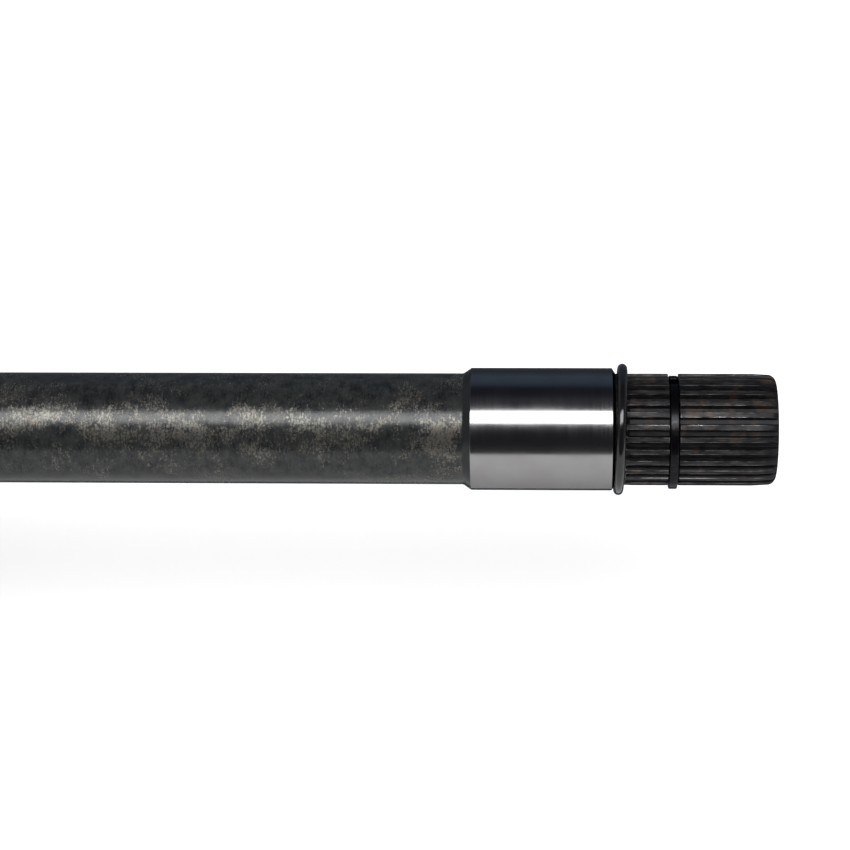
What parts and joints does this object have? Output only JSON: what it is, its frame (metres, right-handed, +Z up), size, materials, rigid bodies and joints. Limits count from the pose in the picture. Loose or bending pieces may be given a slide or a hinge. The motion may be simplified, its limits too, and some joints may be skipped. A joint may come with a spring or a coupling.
{
  "type": "cv axle",
  "caption": "Front half shaft with an intermediate shaft: splined gearbox end with a ground seal journal, carrier bearing, plunging tripod joint, bar, fixed ball joint and hub stub.",
  "frame": {"origin": "centre of the carrier bearing, on the intermediate shaft's axis", "axes": "+X along the axle towards the gearbox, +Z up, with all joints straight"},
  "size_m": [0.898, 0.0948, 0.0974],
  "materials": {
    "black_oxide_steel": "mottled black oxide, with a ground seal journal",
    "o_ring_rubber": "glossy",
    "spring_steel": "phosphated",
    "bearing_steel": "ground",
    "cage_brass": "machined brass",
    "seal_rubber": "satin",
    "zinc_plate": "zinc plated",
    "forged_steel": "forged, machined at the seats",
    "boot_rubber": "satin",
    "clamp_steel": "stainless",
    "bar_paint": "satin black",
    "cage_steel": "phosphated",
    "sintered_steel": "sintered"
  },
  "bodies": {
    "bearing_outer": {"carrier_outer_ring": "bearing_steel", "carrier_seal_inboard": "seal_rubber", "carrier_seal_outboard": "seal_rubber"},
    "inner_shaft": {"intermediate_shaft": "black_oxide_steel", "o_ring": "o_ring_rubber", "circlip": "spring_steel", "carrier_inner_ring": "bearing_steel", "carrier_snap_ring": "spring_steel", "dust_shield": "zinc_plate", "inner_joint_housing": "forged_steel", "inner_boot": "boot_rubber", "inner_boot_clamp_large": "clamp_steel"},
    "carrier_cage": {"carrier_cage": "cage_brass", "carrier_balls": "bearing_steel"},
    "tripod_carriage_1": {"tripod_ring_1": "bearing_steel", "tripod_needles_1": "bearing_steel"},
    "tripod_carriage_2": {"tripod_ring_2": "bearing_steel", "tripod_needles_2": "bearing_steel"},
    "tripod_carriage_3": {"tripod_ring_3": "bearing_steel", "tripod_needles_3": "bearing_steel"},
    "tripod_roller_1": {"tripod_roller_1": "bearing_steel"},
    "tripod_roller_2": {"tripod_roller_2": "bearing_steel"},
    "tripod_roller_3": {"tripod_roller_3": "bearing_steel"},
    "bar": {"bar_shaft": "bar_paint", "tripod_spider": "forged_steel", "spider_snap_rings": "spring_steel", "inner_boot_clamp_small": "clamp_steel", "outer_inner_race": "bearing_steel", "race_snap_rings": "spring_steel", "outer_boot": "boot_rubber", "outer_boot_clamp_small": "clamp_steel"},
    "outer_cage": {"outer_cage": "cage_steel", "outer_ball_1": "bearing_steel", "outer_ball_2": "bearing_steel", "outer_ball_3": "bearing_steel", "outer_ball_4": "bearing_steel", "outer_ball_5": "bearing_steel", "outer_ball_6": "bearing_steel"},
    "outer_stub": {"outer_joint_housing": "forged_steel", "tone_ring": "sintered_steel", "outer_boot_clamp_large": "clamp_steel"}
  },
  "joints": [
    {"name": "shaft_spin", "type": "hinge", "parent": "bearing_outer", "child": "inner_shaft", "pos_m": [0, 0, 0], "axis": [1, 0, 0], "continuous": true},
    {"name": "carrier_cage_orbit", "type": "hinge", "parent": "bearing_outer", "child": "carrier_cage", "pos_m": [0, 0, 0], "axis": [1, 0, 0], "continuous": true},
    {"name": "inner_plunge", "type": "slide", "parent": "inner_shaft", "child": "tripod_carriage_1", "axis": [1, 0, 0], "range_m": [-0.015, 0.015]},
    {"name": "inner_bend", "type": "hinge", "parent": "tripod_carriage_1", "child": "bar", "pos_m": [-0.072, 0, 0], "axis": [0, 0, 1], "range_deg": [-18, 18], "deforming": ["inner_boot"]},
    {"name": "carriage_2_slide", "type": "slide", "parent": "tripod_carriage_1", "child": "tripod_carriage_2", "axis": [1, 0, 0], "range_m": [-0.0082, 0.0082]},
    {"name": "carriage_3_slide", "type": "slide", "parent": "tripod_carriage_1", "child": "tripod_carriage_3", "axis": [1, 0, 0], "range_m": [-0.0082, 0.0082]},
    {"name": "roller_1_spin", "type": "hinge", "parent": "tripod_carriage_1", "child": "tripod_roller_1", "pos_m": [-0.072, 0, 0], "axis": [0, 0, 1], "continuous": true},
    {"name": "roller_2_spin", "type": "hinge", "parent": "tripod_carriage_2", "child": "tripod_roller_2", "pos_m": [-0.072, 0, 0], "axis": [0, -0.866, -0.5], "continuous": true},
    {"name": "roller_3_spin", "type": "hinge", "parent": "tripod_carriage_3", "child": "tripod_roller_3", "pos_m": [-0.072, 0, 0], "axis": [0, 0.866, -0.5], "continuous": true},
    {"name": "outer_bend", "type": "hinge", "parent": "bar", "child": "outer_stub", "pos_m": [-0.47, 0, 0], "axis": [0, 0, 1], "range_deg": [-45, 45], "deforming": ["outer_boot"]},
    {"name": "outer_cage_bisect", "type": "hinge", "parent": "bar", "child": "outer_cage", "pos_m": [-0.47, 0, 0], "axis": [0, 0, 1], "range_deg": [-22.5, 22.5]}
  ],
  "couplings": [
    {"joint": "carrier_cage_orbit", "follows": "shaft_spin", "ratio": 0.4265},
    {"joint": "carriage_2_slide", "follows": "inner_bend", "m_per_rad": 0.0231},
    {"joint": "carriage_3_slide", "follows": "inner_bend", "m_per_rad": -0.0231},
    {"joint": "outer_cage_bisect", "follows": "outer_bend", "ratio": 0.5}
  ]
}
